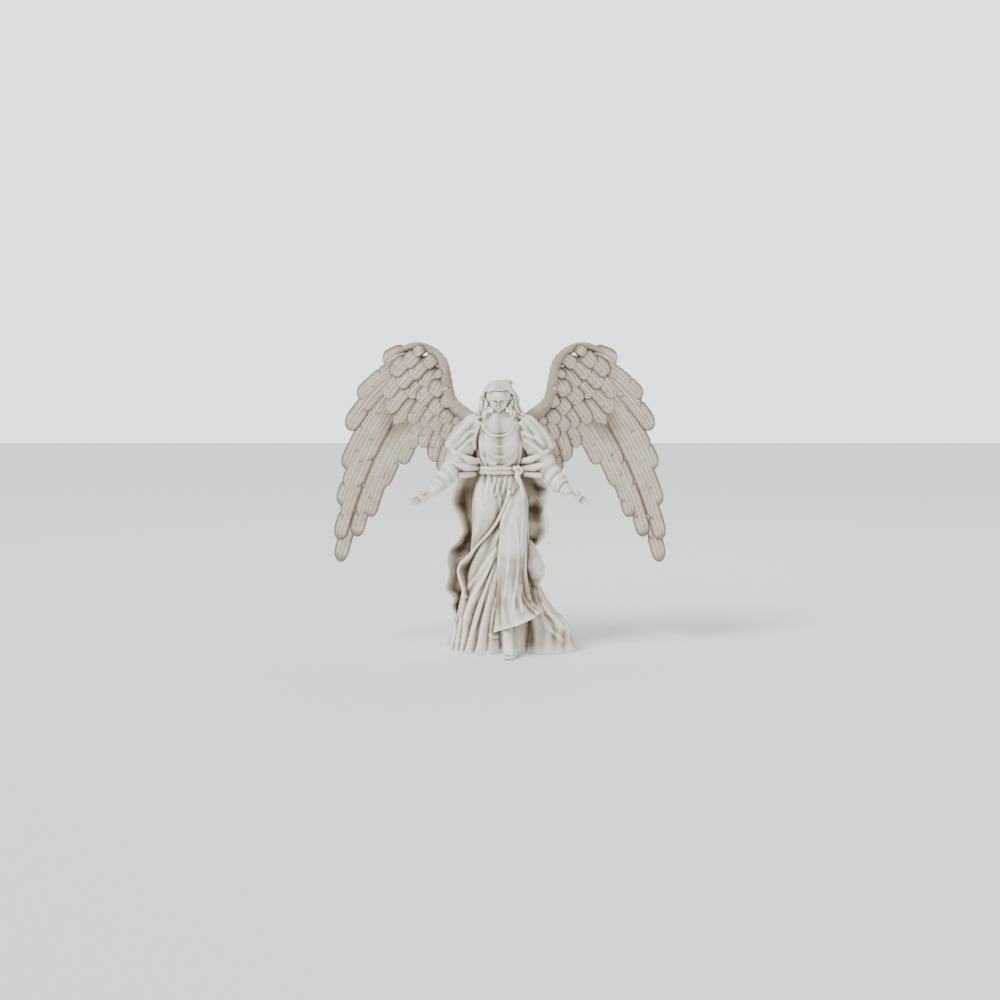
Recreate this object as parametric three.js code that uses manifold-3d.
// Angel figurine with spread wings, cast in one piece in pale stone-powder resin.
// Millimetres, +Z up, front towards -Y, origin on the floor under the middle of the wing span.
// x runs to the viewer's right as the figure faces the viewer.
import * as THREE from "three";
import { mergeVertices } from "three/addons/utils/BufferGeometryUtils.js";
import Module from "manifold-3d";

const wasm = await Module();
wasm.setup();

// Driving dimensions
const FIGURE_HEIGHT = 263; // floor to the crown of the hair
const WING_TOP = 300; // floor to the highest point of the wings
const WING_LENGTH = 215.5; // highest point of a wing to its lowest feather tip
const WING_REACH = 153; // wing root to the outermost feather
const WING_ROOT_OUT = 8; // middle of the back to a wing root
const WING_ROOT_BACK = 15; // body axis to a wing root, backwards
const WING_SWEEP = 14; // how far a wing bows backwards of its root
const WING_ARM = 5; // radius of the rounded leading edge
const FEATHER_THICKNESS = 3.2;
const FEATHER_BOW = 0.05; // how far a feather bows outwards, as a share of its length
const RELIEF = 0.5; // how far a feather's edges stand over or under the row's middle surface
const ROW_STEP = 1.4; // each row's height above the one below it
const SUNK = 1.3; // how deep a row's back lies in the row below it
const CLOTH_THICKNESS = 3.4; // the free-hanging cape
const FOLD_RADIUS = 2.3; // a full-size fold of the robe
const BELT_RISE = 1.5; // the belt stands this far out of the waist
const FINGER_RADIUS = 1.25;
const LOCK_RADIUS = 2.5; // a thick lock of hair

// The figure's free forms are drawn in millimetres at this height, and scaled with the figure.
const DRAWN_HEIGHT = 263;
const share = FIGURE_HEIGHT / DRAWN_HEIGHT;
const TURN = 2 * Math.PI;

const V = (x, y, z) => new THREE.Vector3(x, y, z);
const drawn = ([x, y, z]) => V(x, y, z).multiplyScalar(share);
const sized = (length) => length * share;
const mirrored = (points) => points.map(([x, y, z]) => [-x, y, z]);
const mix = THREE.MathUtils.lerp;

// A value that runs smoothly through a list of numbers as t goes from 0 to 1.
function along(values, t) {
  const last = values.length - 1;
  const place = THREE.MathUtils.clamp(t, 0, 1) * last;
  const i = Math.min(Math.floor(place), last - 1);
  const f = place - i;
  return mix(values[i], values[i + 1], f * f * (3 - 2 * f));
}

// A smooth curve through points, as a function of t from 0 to 1.
function curveThrough(points) {
  const curve = new THREE.CatmullRomCurve3(points, false, "centripetal");
  return (t) => curve.getPoint(THREE.MathUtils.clamp(t, 0, 1));
}

// A closed solid through rings of points. Each end is closed by a fan to its middle, or to a given tip.
function loft(rings, tip = null) {
  const n = rings[0].length;
  const middle = (ring) =>
    ring.reduce((sum, p) => sum.add(p), V(0, 0, 0)).divideScalar(n);
  const points = [...rings.flat(), middle(rings[0]), tip ?? middle(rings.at(-1))];
  const start = points.length - 2;
  const end = points.length - 1;
  const top = (rings.length - 1) * n;
  const faces = [];
  for (let j = 0; j < n; j++) {
    const k = (j + 1) % n;
    for (let a = 0; a < top; a += n)
      faces.push(a + j, a + k, a + n + k, a + j, a + n + k, a + n + j);
    faces.push(start, k, j, end, top + j, top + k);
  }
  const geometry = new THREE.BufferGeometry().setFromPoints(points);
  geometry.setIndex(faces);
  return solidOf(geometry);
}

// A geometry as a solid, with its faces turned to point out.
function solidOf(geometry) {
  geometry.deleteAttribute("normal");
  geometry.deleteAttribute("uv");
  const merged = mergeVertices(geometry, 1e-4);
  const triVerts = new Uint32Array(merged.index.array);
  const vertProperties = merged.attributes.position.array;
  const make = () => new wasm.Manifold(new wasm.Mesh({ numProp: 3, vertProperties, triVerts }));
  const made = make();
  if (made.volume() > 0) return made;
  for (let i = 0; i < triVerts.length; i += 3)
    [triVerts[i], triVerts[i + 1]] = [triVerts[i + 1], triVerts[i]];
  return make();
}

const union = (solids) => wasm.Manifold.union(solids);

// A tapered, rounded bar along a path. Its section is flat times as thick along the side that faces up.
function sweep(path, radii, { sides = 8, steps = 8, flat = 1, up = V(0, -1, 0) } = {}) {
  const at = curveThrough(path);
  const rings = [];
  for (let i = 0; i <= steps; i++) {
    const t = i / steps;
    const forward = at(t + 0.01).sub(at(t - 0.01)).normalize();
    const across = forward.clone().cross(up).normalize();
    const rise = across.clone().cross(forward);
    const r = along(radii, t);
    const ring = [];
    for (let j = 0; j < sides; j++) {
      const a = (j / sides) * TURN;
      ring.push(
        at(t)
          .addScaledVector(across, r * Math.cos(a))
          .addScaledVector(rise, r * flat * Math.sin(a)),
      );
    }
    rings.push(ring);
  }
  return loft(rings);
}

// A closed solid between two grids of points, its front and its back.
function slab(front, back) {
  const down = front.length;
  const across = front[0].length;
  const count = down * across;
  const faces = [];
  const quad = (a, b, c, d) => faces.push(a, b, c, a, c, d);
  const wall = (a, b) => quad(a, b, b + count, a + count);
  for (let i = 0; i < down - 1; i++)
    for (let j = 0; j < across - 1; j++) {
      const a = i * across + j;
      const c = a + across;
      quad(a, c, c + 1, a + 1);
      quad(a + count, a + 1 + count, c + 1 + count, c + count);
    }
  for (let j = 0; j < across - 1; j++) {
    wall(j, j + 1);
    wall(count - across + j + 1, count - across + j);
  }
  for (let i = 0; i < down - 1; i++) {
    wall((i + 1) * across, i * across);
    wall(i * across + across - 1, (i + 1) * across + across - 1);
  }
  const geometry = new THREE.BufferGeometry().setFromPoints([...front.flat(), ...back.flat()]);
  geometry.setIndex(faces);
  return solidOf(geometry);
}

// A hanging sheet of cloth between rails that run from its top to its bottom.
function drape(rails, { across = 3, down = 12 } = {}) {
  const runs = rails.map((rail) => curveThrough(rail.map(drawn)));
  const surface = (u, v) => curveThrough(runs.map((run) => run(v)))(u);
  const front = [];
  const back = [];
  for (let i = 0; i <= down; i++) {
    const v = i / down;
    front.push([]);
    back.push([]);
    for (let j = 0; j <= across; j++) {
      const u = j / across;
      const p = surface(u, v);
      const sideways = surface(u + 0.02, v).sub(surface(u - 0.02, v));
      const downwards = surface(u, v + 0.02).sub(surface(u, v - 0.02));
      const normal = sideways.cross(downwards).normalize();
      front[i].push(p.clone().addScaledVector(normal, CLOTH_THICKNESS / 2));
      back[i].push(p.clone().addScaledVector(normal, -CLOTH_THICKNESS / 2));
    }
  }
  return slab(front, back);
}

// The radius of a closed outline through values spaced evenly round the axis.
function outline(radii, angle) {
  const n = radii.length;
  const place = (((angle / TURN) * n) % n + n) % n;
  const i = Math.floor(place);
  const f = place - i;
  const at = (k) => radii[(i + k + n) % n];
  const slope = at(1) - at(-1);
  const bend = 2 * at(-1) - 5 * at(0) + 4 * at(1) - at(2);
  const twist = 3 * (at(0) - at(1)) + at(2) - at(-1);
  return at(0) + 0.5 * f * (slope + f * (bend + f * twist));
}

// The robe: a height, then its reach from the axis to the front, front right, right, and so on round.
const ROBE = [
  [0, 8, 12, 32, 54, 50, 60, 46, 28],
  [12, 11, 13, 31, 51, 48, 57, 47, 31],
  [32, 14, 14, 30, 45, 43, 49, 41, 32],
  [51, 16, 19, 30, 40, 38, 43, 37, 31],
  [70, 17, 22, 28, 35, 33, 37, 33, 28],
  [89, 18, 24, 28, 31, 29, 32, 29, 26.5],
  [108, 18.5, 23, 27, 28.5, 26, 29, 27, 25.5],
  [128, 18, 22, 27, 26.5, 24, 27, 26, 25],
  [147, 17, 20.5, 26, 25, 22, 25, 25.5, 23.5],
  [160, 15, 18, 23, 22, 20, 22, 23, 20],
  [172, 12.5, 15, 19, 19, 18, 19, 19, 15.5],
  [180, 13, 15.5, 19, 19, 18, 19, 19, 16],
  [189, 15, 18.5, 20.5, 20, 18, 20, 20.5, 18.5],
  [200, 16, 21, 22, 21, 18, 21, 22, 21],
  [211, 14, 19, 23.5, 22, 18, 22, 23.5, 19],
  [219, 11, 15.5, 25.5, 21, 17, 21, 25.5, 15.5],
  [226, 8, 11, 19, 16, 14, 16, 19, 11],
  [231, 6, 7.5, 11, 11, 9, 11, 11, 7.5],
];
const reaches = new THREE.CubicInterpolant(
  ROBE.map(([z]) => z),
  ROBE.flatMap((level) => level.slice(1)),
  ROBE[0].length - 1,
);

const clothRadius = (angle, z) => outline([...reaches.evaluate(z)], angle);

// The direction round the axis at which the robe's front lies at a place seen from the front.
function facing(x, z) {
  let low = -TURN / 4;
  let high = TURN / 4;
  for (let i = 0; i < 16; i++) {
    const a = (low + high) / 2;
    if (clothRadius(a, z) * Math.sin(a) < x) low = a;
    else high = a;
  }
  return low;
}

// Fold lines of the robe's front, left to right: places that each passes from the neck to the floor, and
// how far its crest stands out along it, as shares of a full fold.
const FOLD_LINES = [
  {
    at: [
      [-15, 231], [-23, 216], [-21, 190], [-16, 176], [-20, 160],
      [-23, 135], [-28, 104], [-34, 75], [-40, 40], [-47, 0],
    ],
    crest: [0, 0.3, 0, 0.4, 0.8, 1],
  },
  {
    at: [
      [-10, 231], [-17, 216], [-17, 190], [-12, 176], [-9, 160],
      [-7, 135], [-17, 108], [-27, 85], [-36, 50], [-43, 0],
    ],
    crest: [0, 0.5, 0.1, 0.5, 0.5, 0.7],
  },
  {
    at: [
      [-7, 231], [-11, 216], [-11, 190], [-8, 176], [-2, 160],
      [1, 130], [-5, 102], [-13, 77], [-27, 50], [-38, 0],
    ],
    crest: [0, 0, 0.3, 0.4, 1, 0.9],
  },
  {
    at: [
      [-4, 231], [-6, 216], [-6, 190], [-4, 176], [3, 160],
      [2.5, 130], [-2, 102], [-9, 75], [-20, 42], [-33, 0],
    ],
    crest: [0, 0, 0.3, 0.3, 1.1, 1.2],
  },
  {
    at: [
      [-1, 231], [-2, 216], [-1, 190], [0, 176], [7, 160],
      [4, 130], [0, 102], [-5, 72], [-12, 40], [-21, 0],
    ],
    crest: [0, 0, 0.3, 0.3, 0.8, 1],
  },
  {
    at: [
      [2, 231], [2, 216], [4, 190], [4, 176], [10, 160],
      [5.5, 130], [1.5, 102], [-2, 65], [-6, 34], [-8, 0],
    ],
    crest: [0, 0, 0.3, 0.4, 0.8, 0.8],
  },
  {
    at: [
      [4, 231], [6, 216], [9, 190], [9, 176], [12.5, 160],
      [7.5, 130], [4, 102], [0, 60], [2, 28], [3, 0],
    ],
    crest: [0, 0, 0.3, 0.6, 1, 0.4],
  },
  {
    at: [
      [7, 231], [12, 216], [14, 190], [13, 176], [16, 160],
      [22, 130], [24.5, 105], [24, 80], [29, 50], [33, 0],
    ],
    crest: [0, 0, 0.2, 0.9, 1, 0.8],
  },
  {
    at: [
      [10, 231], [19, 216], [19, 190], [16, 176], [21, 158],
      [29, 128], [28.5, 105], [30, 75], [36, 40], [42, 0],
    ],
    crest: [0, 0.6, 0.1, 0.9, 1, 0.6],
  },
];
const FOLD_HEIGHTS = FOLD_LINES.map(({ at }) => {
  const rising = [...at].reverse();
  return new THREE.CubicInterpolant(rising.map(([, z]) => z), rising.map(([x]) => x), 1);
});
const BACK_FOLDS = 6;
const NECK = 231;

function robeRing(z, grown = 0) {
  const crests = FOLD_LINES.map(({ crest }, k) => ({
    angle: facing(FOLD_HEIGHTS[k].evaluate(z)[0], z),
    crest: along(crest, 1 - z / NECK),
  }));
  const first = crests[0].angle + TURN;
  const last = crests.at(-1).angle;
  for (let k = 1; k <= BACK_FOLDS; k++)
    crests.push({ angle: mix(last, first, k / (BACK_FOLDS + 1)), crest: mix(1.1, 0.2, z / NECK) });
  const spread = crests.map(({ angle, crest }, k) => {
    const next = crests[k + 1]?.angle ?? first;
    const width = (next - angle) * clothRadius(angle, z);
    return { angle, crest, hollow: (angle + next) / 2, sunk: Math.min(crest, width / 6) };
  });
  return spread.flatMap(({ angle, crest, hollow, sunk }) => [
    robePoint(angle, z, grown + crest * FOLD_RADIUS * 0.6),
    robePoint(hollow, z, grown - sunk * FOLD_RADIUS * 0.6),
  ]);
}

function robePoint(angle, z, grown) {
  const r = clothRadius(angle, z) + grown;
  return V(r * Math.sin(angle), -r * Math.cos(angle), z).multiplyScalar(share);
}

// The belt's two cords: each height and how far the cloth or cord stands out there.
const BELT = [
  [171.6, 0],
  [173, BELT_RISE],
  [175.2, BELT_RISE],
  [175.9, 0.4],
  [176.6, BELT_RISE],
  [178.8, BELT_RISE],
  [180.2, 0],
];

function robe() {
  const skirt = [0, 14, 30, 46, 64, 82, 100, 120, 140, 158].map((z) => robeRing(z));
  const belt = BELT.map(([z, rise]) => robeRing(z, rise));
  const bodice = [190, 202, 213, 221, 227, NECK].map((z) => robeRing(z));
  return loft([...skirt, ...belt, ...bodice]);
}

function knot() {
  const ends = [
    [13, -10.5, 179],
    [17.5, -13, 175],
    [16.5, -14.5, 171],
    [18.5, -15.5, 164],
  ];
  return sweep(ends.map(drawn), [2.2, 3.6, 3, 1.6].map(sized), { sides: 5, steps: 4 });
}

// The leg that steps forward, under its cloth: middle of each level, half widths, and the hem's slope.
const LEG = [
  [15, -2, 160, 8, 8, 0],
  [13.5, -8, 146, 11, 11, 0],
  [13, -13, 128, 13, 12.5, 0],
  [12, -18, 106, 12.5, 12.5, 0],
  [10.5, -18, 90, 11.5, 11.5, 0],
  [10, -17.5, 72, 11.5, 11.5, 0.1],
  [11, -18, 54, 13, 13.5, 0.2],
  [14.5, -20, 41, 18, 16.5, 0.32],
  [18.5, -22.5, 32.5, 22.5, 18.5, 0.42],
];

const LEG_SIDES = 16;

function legRing([x, y, z, wide, deep, slope]) {
  const ring = [];
  for (let j = 0; j < LEG_SIDES; j++) {
    const a = (j / LEG_SIDES) * TURN;
    const ruffle = 1 + 0.35 * Math.abs(slope) * Math.cos(3 * a - 0.6);
    const dx = wide * ruffle * Math.sin(a);
    ring.push(drawn([x + dx, y - deep * ruffle * Math.cos(a), z + slope * dx]));
  }
  return ring;
}

function advancedLeg() {
  return loft(LEG.map(legRing));
}

function foot() {
  const instep = [
    [9.5, -20, 44],
    [8.2, -24, 30],
    [7.6, -30, 18],
    [8, -38, 9.5],
    [8.4, -46, 4.6],
    [8.6, -50.5, 3],
  ];
  const radii = [5.2, 4.4, 4.8, 5.6, 5.8, 3.4].map(sized);
  return sweep(instep.map(drawn), radii, { steps: 6, flat: 0.85 });
}

// The train that spreads on the floor: middle of each level and half widths.
const TRAIN = [
  [31, 12, 66, 7, 11],
  [33, 12.5, 52, 12, 15],
  [38, 12, 38, 17.5, 19],
  [43.5, 11, 26, 24, 22],
  [45, 10, 13, 24.5, 24],
  [46, 10, 0, 27.5, 26],
];

const TRAIN_SIDES = 18;

function trainRing([x, y, z, wide, deep]) {
  const ring = [];
  for (let j = 0; j < TRAIN_SIDES; j++) {
    const a = (j / TRAIN_SIDES) * TURN;
    const wave = 1 + 0.06 * Math.cos(5 * a + z / 30);
    ring.push(drawn([x + wide * wave * Math.sin(a), y - deep * wave * Math.cos(a), z]));
  }
  return ring;
}

function train() {
  return loft(TRAIN.map(trainRing));
}

// How far back the front of a form lies at a place seen from the front, from its levels.
function frontOfLevels(levels, x, z) {
  const i = levels.findIndex((level) => level[2] <= z);
  if (i < 1) return Infinity;
  const f = (z - levels[i][2]) / (levels[i - 1][2] - levels[i][2]);
  const [cx, cy, , wide, deep] = levels[i].map((value, k) => mix(value, levels[i - 1][k], f));
  const inside = 1 - ((x - cx) / wide) ** 2;
  return inside > 0 ? cy - deep * Math.sqrt(inside) : Infinity;
}

function frontOfCloth(x, z) {
  const angle = facing(x, z);
  const robeFront = -clothRadius(angle, z) * Math.cos(angle);
  return Math.min(robeFront, frontOfLevels(LEG, x, z), frontOfLevels(TRAIN, x, z));
}

// Folds that run across the others, each by the places that it passes as seen from the front, and its width.
const FOLDS = [
  { width: 1.1, at: [[14, 166], [7, 147], [-3, 128], [-17, 110], [-28, 98]] },
  { width: 1.1, at: [[41, 49], [52, 37], [62, 28], [69, 19]] },
  { width: 1.2, at: [[31, 20], [38, 10], [52, 5], [66, 4], [70, 6]] },
];

function foldsOfCloth() {
  return FOLDS.map(({ width, at }) => {
    const path = at.map(([x, z]) => drawn([x, frontOfCloth(x, z) + 0.3, z]));
    const full = FOLD_RADIUS * width;
    const radii = [full * 0.6, full, full, full * 0.7];
    return sweep(path, radii, { sides: 4, steps: at.length });
  });
}

// The overskirt's edge swings out from the hip to the side in an S and curls back.
function overskirt() {
  const edge = [
    [10, -18, 158], [2, -20, 136], [-12, -22, 116], [-28, -18, 98], [-39.5, -12, 85],
    [-40, -12, 73], [-36, -14, 62], [-36, -16, 54],
  ];
  const hollow = [
    [8, -14, 156], [0, -14, 134], [-10, -14, 116], [-22, -10, 97], [-29, -4, 84], [-31, -5, 73],
    [-30, -8, 62], [-31, -12, 54],
  ];
  const inner = [
    [6, -10, 154], [-2, -9, 132], [-9, -8, 114], [-16, -6, 96], [-19, -6, 84], [-20, -8, 73],
    [-21, -10, 62], [-23, -12, 54],
  ];
  return drape([inner, hollow, edge], { down: 11 });
}

// The cape's free edges: ruffled lobes on both sides, and on the right the overskirt's turned corner.
function capeLeft() {
  const edge = [
    [-38, 10, 208], [-37, 6, 190], [-40, 4, 168], [-44.5, 2, 155], [-46, 0, 143], [-40, 4, 129],
    [-36, 9, 116], [-41, 7, 108], [-49.5, 1, 99], [-51.5, -4, 88], [-50, -1, 77],
    [-52.5, -6, 62], [-46, 2, 52], [-47.5, 2, 45], [-42, 8, 33], [-44, 12, 12],
  ];
  const middle = [
    [-30, 13, 208], [-31, 12, 190], [-32, 13, 168], [-34, 14, 155], [-35, 14, 143],
    [-32, 15, 129], [-30, 18, 116], [-32, 19, 108], [-36, 17, 99], [-38, 13, 88], [-38, 15, 77],
    [-40, 12, 62], [-38, 15, 52], [-38, 16, 45], [-37, 18, 33], [-38, 20, 12],
  ];
  const inner = middle.map(([, , z]) => [-15, 12, z]);
  return drape([inner, middle, edge], { down: 15 });
}

function capeRight() {
  const edge = [
    [36, 10, 208], [35, 6, 190], [41, 5, 166], [46.5, 6, 157], [45.5, 8, 147], [43.5, 11, 137],
    [45.5, 7, 129], [46.5, 3, 121], [45, 4, 113], [41, 8, 107], [34, 12, 101],
  ];
  const middle = [
    [28, 13, 208], [29, 12, 190], [32, 15, 166], [35, 16, 157], [35, 17, 147], [34, 19, 137],
    [35, 17, 129], [35, 14, 121], [34, 14, 113], [32, 16, 107], [29, 16, 101],
  ];
  const inner = middle.map(([, , z]) => [14, 12, z]);
  return drape([inner, middle, edge], { down: 11 });
}

function turnedCorner() {
  const edge = [
    [30, 6, 108], [37.5, 2, 95], [43, -3, 84], [43.5, -6, 77], [40.5, 0, 70], [38, 4, 60],
    [40, 4, 50],
  ];
  const middle = [
    [26, 2, 108], [31, -3, 95], [34, -7, 84], [34, -4, 77], [32, 1, 70], [31, 3, 60],
    [33, 3, 50],
  ];
  const inner = middle.map(([, , z]) => [19, 4, z]);
  return drape([inner, middle, edge], { down: 8 });
}

// Arms, for the viewer's right; the left one is its mirror image.
const SLEEVE = [
  [19, -1, 222],
  [29, -2, 206],
  [39, -5, 189],
  [49, -11, 173],
  [57, -17, 163],
  [61, -20, 159],
  [66, -23.5, 154.5],
];
const WRIST = [66.5, -24, 153.5];
// The mantle lies over the upper arm and ends in two rolled folds at the elbow.
const MANTLE = [
  [13, 3, 226],
  [26, 2, 217],
  [36, 1, 204],
  [43, 0, 195],
];
const ROLLS = [
  [[19, -5, 180], [32, -14.5, 186], [44, -12, 193], [48, -2, 197]],
  [[20, -5, 175], [34, -15.5, 178], [46, -15.5, 183], [51, -6, 187]],
];
const CUFF = 7;
const LOOSE_CUFF = 9.2;
const FINGER_LENGTHS = [8.5, 11, 11.8, 10.4];

function arm(side, cuff) {
  const place = (points) => (side < 0 ? mirrored(points) : points).map(drawn);
  const sleeve = sweep(place(SLEEVE), [8, 9.4, 10.4, 9.4, cuff, 6, 4.6].map(sized), {
    steps: 6,
    up: V(0, 0, 1),
  });
  const mantle = sweep(place(MANTLE), [7, 11, 12.5, 12].map(sized), { steps: 3 });
  const thickness = [1.6, 3.2, 3.2, 2].map(sized);
  const rolls = ROLLS.map((roll) => sweep(place(roll), thickness, { sides: 4, steps: 4 }));
  return union([sleeve, mantle, ...rolls, hand(side)]);
}

function hand(side) {
  const flip = (v) => V(v.x * side, v.y, v.z);
  const reach = V(0.83, -0.42, -0.36).normalize();
  const palmUp = V(-0.1, -0.78, 0.6).projectOnPlane(reach).normalize();
  const thumbwards = reach.clone().cross(palmUp).normalize();
  if (thumbwards.z < 0) thumbwards.negate();
  const wrist = V(...WRIST);
  const at = ([out, over, lift]) =>
    flip(
      wrist
        .clone()
        .addScaledVector(reach, out)
        .addScaledVector(thumbwards, over)
        .addScaledVector(palmUp, lift),
    ).multiplyScalar(share);
  const middle = [[-4, 0, 0], [2, 0, 0], [7, 0, -0.4], [11.5, 0, 0]].map(at);
  const palm = sweep(middle, [3, 4, 4.9, 4.3].map(sized), {
    sides: 6,
    steps: 3,
    flat: 0.6,
    up: flip(palmUp),
  });
  const finger = (path, thick) => {
    const radii = [thick, thick, thick * 0.6].map((r) => r * FINGER_RADIUS);
    return sweep(path.map(at), radii, { sides: 4, steps: 2 });
  };
  const fingers = FINGER_LENGTHS.map((length, i) => {
    const over = (i - 1.5) * 2.4;
    return finger([[9, over, 0], [11 + length / 2, over * 1.25, -0.6], [11 + length, over * 1.3, 0.9]], 1);
  });
  const thumb = finger([[1.5, 3, 0.5], [6, 6.6, 1.6], [12, 9.5, 2]], 1.25);
  return union([palm, ...fingers, thumb]);
}

// The head, bowed forwards: a sphere of directions, with the face raised on it by smooth bumps.
const HEAD = { middle: [-1.5, -7.5, 244.5], half: [9.6, 11.6, 14.6], bow: 0.42 };
const FACE = [
  { at: [0, -0.12], size: [0.16, 0.3], rise: 0.17 }, // nose
  { at: [0, -0.3], size: [0.14, 0.09], rise: 0.1 }, // its tip
  { at: [0, -0.55], size: [0.26, 0.09], rise: 0.08 }, // lips
  { at: [0, -0.86], size: [0.26, 0.16], rise: 0.16 }, // chin
  { at: [0.38, 0.08], size: [0.2, 0.13], rise: -0.08 }, // eye sockets
  { at: [0.4, 0.03], size: [0.15, 0.07], rise: 0.05 }, // lids
  { at: [0.34, 0.3], size: [0.34, 0.12], rise: 0.04 }, // brows
  { at: [0.62, -0.3], size: [0.3, 0.25], rise: 0.04 }, // cheeks
];

function headSurface(direction) {
  const { x, y, z } = direction; // x right, y forwards, z up
  let r = 1 - 0.12 * Math.max(0, -z) * (1 - Math.abs(y)) - 0.1 * Math.max(0, -z - 0.3);
  if (y > 0)
    for (const { at, size, rise } of FACE) {
      const dx = (Math.abs(x) - at[0]) / size[0];
      const dz = (z - at[1]) / size[1];
      r += rise * Math.exp(-dx * dx - dz * dz);
    }
  return r;
}

function headPoint(direction) {
  const [wide, deep, tall] = HEAD.half;
  const r = headSurface(direction);
  return V(direction.x * wide * r, -direction.y * deep * r, direction.z * tall * r)
    .applyAxisAngle(V(1, 0, 0), HEAD.bow)
    .add(V(...HEAD.middle))
    .multiplyScalar(share);
}

const HEAD_RINGS = 12;
const HEAD_SIDES = 14;

function head() {
  const rings = [];
  for (let i = 1; i < HEAD_RINGS; i++) {
    const polar = (i / HEAD_RINGS) * Math.PI;
    const ring = [];
    for (let j = 0; j < HEAD_SIDES; j++) {
      // The face gets more of the points than the back of the head.
      const even = (j / HEAD_SIDES) * TURN;
      const a = even - 0.45 * Math.sin(even);
      const across = Math.sin(polar);
      ring.push(headPoint(V(across * Math.sin(a), across * Math.cos(a), Math.cos(polar))));
    }
    rings.push(ring);
  }
  const neck = [[0, 1, 222], [-0.5, -0.5, 232], [-1.5, -4, 243]].map(drawn);
  return union([loft(rings), sweep(neck, [8.2, 6.4, 6.6].map(sized), { sides: 9, steps: 2 })]);
}

// Hair parted in the middle, in waved strands that fall from the parting round a cap.
const CAP = { middle: [-0.8, 0.5, 247], half: [13.6, 12.6, 15.5], strands: 7 };

function hair() {
  const cap = new THREE.SphereGeometry(1, 2 * CAP.strands, 7);
  const at = cap.attributes.position;
  for (let i = 0; i < at.count; i++) {
    const p = V(at.getX(i), at.getY(i), at.getZ(i));
    const strand = Math.cos(CAP.strands * Math.atan2(p.y, p.z) + 2.5 * p.x);
    p.multiplyScalar(1 + 0.07 * strand * (1 - p.x * p.x));
    at.setXYZ(i, p.x * CAP.half[0], p.y * CAP.half[1], p.z * CAP.half[2]);
  }
  cap.translate(...CAP.middle).scale(share, share, share);
  const locks = LOCKS.map(({ width, at: path }) => {
    const full = LOCK_RADIUS * width;
    const radii = [full * 0.7, full, full, full * 0.4];
    return sweep(path.map(drawn), radii, { sides: 4, steps: 5, up: V(0, 0.3, 1) });
  });
  return union([solidOf(cap), ...locks]);
}

// The locks that frame the face, down to the shoulders, and a curl on the crown.
const LOCKS = [
  {
    width: 1.4,
    at: [
      [0, -12, 257], [-8, -12, 256], [-13, -8, 250], [-14.5, -5, 242], [-15, -4, 234], [-13, -6, 228],
    ],
  },
  {
    width: 2,
    at: [[-11, 5, 253], [-15.5, 3, 246], [-16, 3, 238], [-19, -1, 231], [-25.5, -2, 226.5]],
  },
  {
    width: 1.4,
    at: [[0, -12, 257], [6.5, -12, 256], [10.5, -8, 251], [12, -5, 243], [12.5, -4, 235], [11, -5, 229]],
  },
  { width: 2, at: [[9, 5, 253], [14, 3, 247], [14.5, 3, 239], [18.5, -1, 232], [25, -1, 227.5]] },
  { width: 1, at: [[1, -4, 259], [6, -6, 261.5], [9.5, -4, 261.5], [11, 0, 256]] },
];

// Wings are drawn flat, in shares of their reach outwards and of their length upwards from the lowest tip.
const onWing = ([out, rise]) =>
  V(WING_ROOT_OUT + WING_REACH * out, 0, WING_TOP - WING_LENGTH * (1 - rise));

// A place on the wing at a height over its middle surface, which bows backwards.
function raised(p, height) {
  const out = (p.x - WING_ROOT_OUT) / WING_REACH;
  const rise = (p.z - WING_TOP) / WING_LENGTH;
  const bow = 3.1 * WING_SWEEP * out * (1 - 0.78 * out);
  return V(p.x, WING_ROOT_BACK + bow + 4 * out + 4 * rise - height, p.z);
}

// The middle line of a feather, from its root to its tip, bowed outwards.
function quill(root, tip) {
  const run = tip.clone().sub(root);
  const outwards = V(-run.z, 0, run.x).multiplyScalar(FEATHER_BOW);
  return (t) => root.clone().addScaledVector(run, t).addScaledVector(outwards, 4 * t * (1 - t));
}

// How far along a line the place nearest to a point is.
function nearest(line, point) {
  let best = 1;
  for (let t = 0; t < 1; t += 0.05)
    if (line(t).distanceTo(point) < line(best).distanceTo(point)) best = t;
  return best;
}

// Where a feather's rings lie along it, each with its share of the full width.
const LONG_BLADE = [
  [0, 0.8],
  [0.5, 1],
  [0.9, 1],
  [0.98, 0.55],
];
const SHORT_BLADE = [
  [0, 0.95],
  [0.94, 0.75],
];

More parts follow.
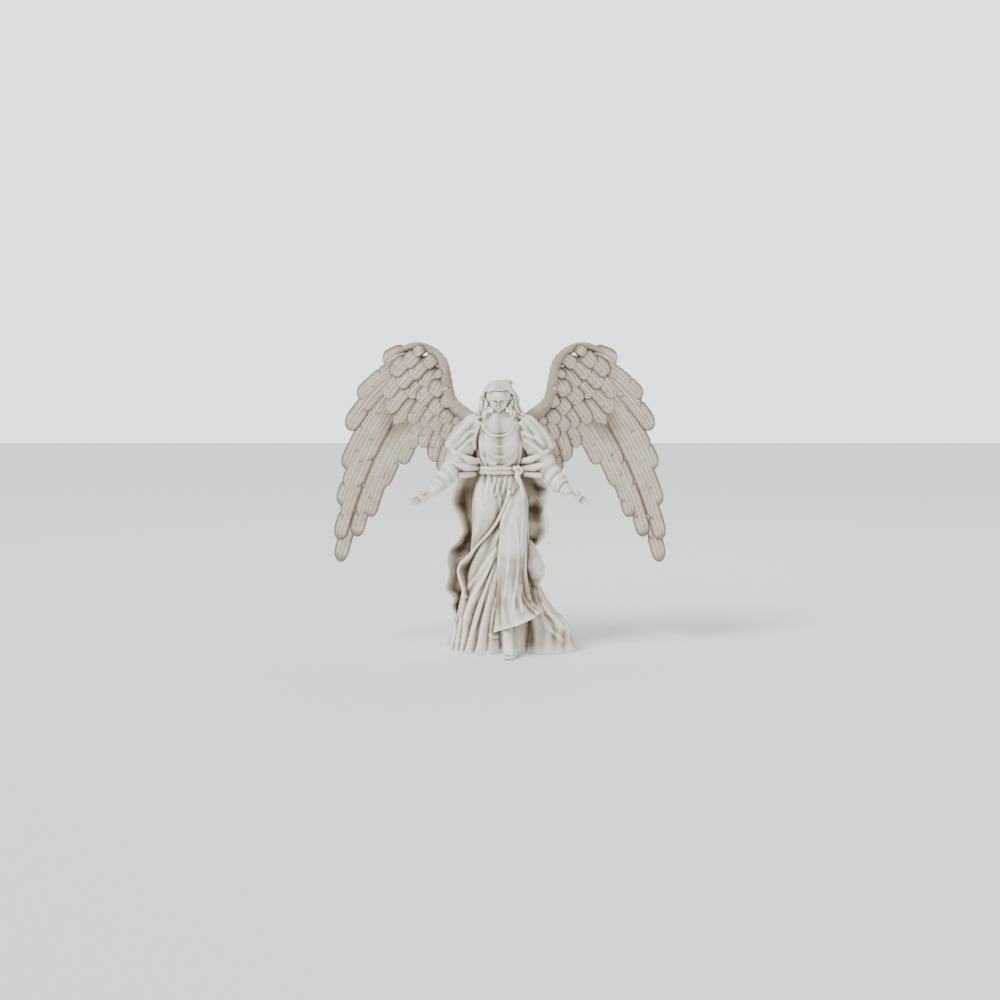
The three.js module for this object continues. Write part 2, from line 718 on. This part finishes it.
// A row of overlapping feathers as one relief. The one named lowest lies under both its neighbours.
// Its face stands at a height over the wing's middle surface, and its back is flat or follows the relief.
function featherRow({ blade, tips, roots, width, lowest, top, bottom, flatBack }) {
  const from = curveThrough(roots.map(onWing));
  const last = tips.length - 1;
  const quills = tips.map((tip, k) => quill(from(k / last), onWing(tip)));
  // The valley between two neighbours ends in a notch beside the shorter one's tip.
  const valleys = quills.slice(1).map((next, k) => {
    const ends = [nearest(quills[k], next(1)), nearest(next, quills[k](1))];
    return (t) => quills[k](t * ends[0]).lerp(next(t * ends[1]), 0.5);
  });
  const edge = (k, towards) => {
    const valley = valleys[towards < 0 ? k - 1 : k];
    const onTop = !valley || towards * (lowest - k) > 0;
    const at = (t, spread) => {
      const p = quills[k](t);
      const forward = quills[k](t + 0.01).sub(quills[k](t - 0.01)).normalize();
      const aside = V(forward.z, 0, -forward.x).multiplyScalar(towards);
      const room = valley ? 0.94 * p.distanceTo(valley(t)) : width;
      return p.addScaledVector(aside, Math.min((width / 2) * spread, room));
    };
    return { at, height: onTop ? RELIEF : -RELIEF };
  };
  const columns = quills.flatMap((line, k) => [
    edge(k, -1),
    { at: (t, spread, atEnd) => line(atEnd ? 1 : t), height: RELIEF * 0.8 },
    edge(k, 1),
  ]);
  const surface = (level, relief) =>
    blade.map(([t, spread], i) => {
      const atEnd = i === blade.length - 1;
      return columns.map(({ at, height }) => raised(at(t, spread, atEnd), level + relief * height));
    });
  return slab(surface(top, 1), surface(bottom, flatBack ? 0 : 1));
}

// The flight feathers' tips, from the top of the wing round to the body, and the curve of their roots.
const FLIGHTS = {
  blade: LONG_BLADE,
  width: 14.5,
  lowest: 6,
  top: FEATHER_THICKNESS / 2,
  bottom: -FEATHER_THICKNESS / 2,
  tips: [
    [0.69, 0.9],
    [0.852, 0.745],
    [0.92, 0.6],
    [0.935, 0.42],
    [0.965, 0.255],
    [0.98, 0.1],
    [0.978, 0],
    [0.875, 0.115],
    [0.79, 0.205],
    [0.7, 0.34],
    [0.58, 0.445],
    [0.45, 0.52],
    [0.375, 0.455],
    [0.31, 0.4],
    [0.2, 0.45],
  ],
  roots: [
    [0.5, 0.95], [0.52, 0.9], [0.5, 0.84], [0.44, 0.77], [0.37, 0.71], [0.28, 0.67],
    [0.12, 0.62],
  ],
};
const COVERTS = [
  {
    width: 14.5,
    lowest: 2,
    tips: [
      [0.676, 0.743], [0.663, 0.676], [0.625, 0.608], [0.523, 0.626], [0.44, 0.61],
      [0.382, 0.599], [0.305, 0.554], [0.228, 0.563],
    ],
    roots: [[0.53, 0.87], [0.46, 0.78], [0.33, 0.75], [0.24, 0.67], [0.14, 0.66]],
  },
  {
    width: 13.5,
    lowest: 2,
    tips: [
      [0.631, 0.847], [0.593, 0.793], [0.535, 0.748], [0.465, 0.721], [0.382, 0.676],
      [0.311, 0.626], [0.235, 0.622],
    ],
    roots: [[0.51, 0.93], [0.44, 0.86], [0.32, 0.8], [0.24, 0.72], [0.13, 0.68]],
  },
  {
    width: 12.5,
    lowest: 2,
    tips: [
      [0.548, 0.887], [0.51, 0.833], [0.439, 0.788], [0.369, 0.752], [0.305, 0.703],
      [0.235, 0.676],
    ],
    roots: [[0.45, 0.965], [0.35, 0.91], [0.29, 0.83], [0.14, 0.69]],
  },
];
const LEADING_EDGE = [
  [0, 0.6], [0.16, 0.665], [0.256, 0.73], [0.29, 0.83], [0.315, 0.905], [0.37, 0.95],
  [0.45, 0.975], [0.53, 0.972], [0.61, 0.945], [0.68, 0.905],
];

// The small feathers' rows climb from the flight feathers, each with its back sunk in the row below.
function covert(row, i) {
  const top = FEATHER_THICKNESS / 2 + (i + 1) * ROW_STEP;
  return featherRow({ ...row, blade: SHORT_BLADE, top, bottom: top - ROW_STEP - SUNK, flatBack: true });
}

function wing() {
  const limb = sweep(
    LEADING_EDGE.map((at) => raised(onWing(at), 1)),
    [WING_ARM * 1.4, WING_ARM * 1.15, WING_ARM, WING_ARM * 0.6],
    { sides: 5, steps: 7 },
  );
  return union([featherRow(FLIGHTS), ...COVERTS.map(covert), limb]);
}

function geometryOf(solid) {
  const { vertProperties, triVerts } = solid.getMesh();
  const geometry = new THREE.BufferGeometry();
  geometry.setAttribute("position", new THREE.BufferAttribute(vertProperties, 3));
  geometry.setIndex(new THREE.BufferAttribute(triVerts, 1));
  return geometry;
}

function angel() {
  const rightWing = wing();
  const leftWing = solidOf(geometryOf(rightWing).scale(-1, 1, 1));
  const cloth = [robe(), knot(), advancedLeg(), train(), overskirt(), ...foldsOfCloth()];
  const cape = [capeLeft(), capeRight(), turnedCorner()];
  const body = [foot(), arm(1, LOOSE_CUFF), arm(-1, CUFF), head(), hair()];
  const underFloor = solidOf(new THREE.BoxGeometry(1000, 1000, 100).translate(0, 0, -50));
  return union([rightWing, leftWing, ...body, ...cape, ...cloth]).subtract(underFloor);
}

function meshOf(name, solid, material) {
  const geometry = geometryOf(solid);
  geometry.computeVertexNormals();
  const mesh = new THREE.Mesh(geometry, material);
  mesh.name = name;
  return mesh;
}

const castStone = new THREE.MeshStandardMaterial({ color: "#ddd6cd", roughness: 0.62, metalness: 0 });
const figurine = new THREE.Group();
figurine.add(meshOf("angel_figurine", angel(), castStone));

export default figurine;
